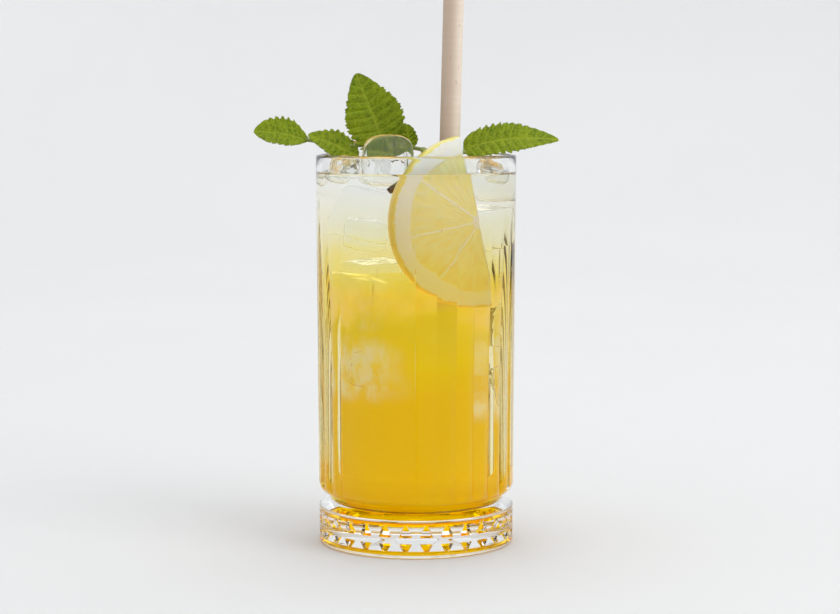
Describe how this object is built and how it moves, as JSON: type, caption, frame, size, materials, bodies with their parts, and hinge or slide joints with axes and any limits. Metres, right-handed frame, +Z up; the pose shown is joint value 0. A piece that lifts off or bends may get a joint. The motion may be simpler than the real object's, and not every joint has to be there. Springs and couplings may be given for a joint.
{
  "type": "glass of lemonade",
  "caption": "Tall fluted drinking glass of iced lemonade with a half lemon wheel, a mint sprig and a straw.",
  "frame": {"origin": "on the glass's axis, at the underside of its foot", "axes": "+Z up along the glass's axis; -Y is the front, where the lemon wheel stands; +X to the right"},
  "size_m": [0.1158, 0.077, 0.223],
  "materials": {
    "clear_glass": "clear pressed glass, fire polished",
    "lemonade": "cloudy amber drink, paler towards the surface",
    "reed_straw": "matt plant fibre with a fine cross grain",
    "lemon": "wet lemon flesh with white pith and a yellow rind",
    "mint": "fresh mint leaf, veined, slight sheen",
    "ice": "clear melting ice"
  },
  "bodies": {
    "root": {"glass": "clear_glass", "lemonade": "lemonade", "straw": "reed_straw", "lemon_slice": "lemon", "mint_sprig": "mint", "ice_front": "ice", "ice_left": "ice", "ice_right": "ice"}
  },
  "joints": []
}
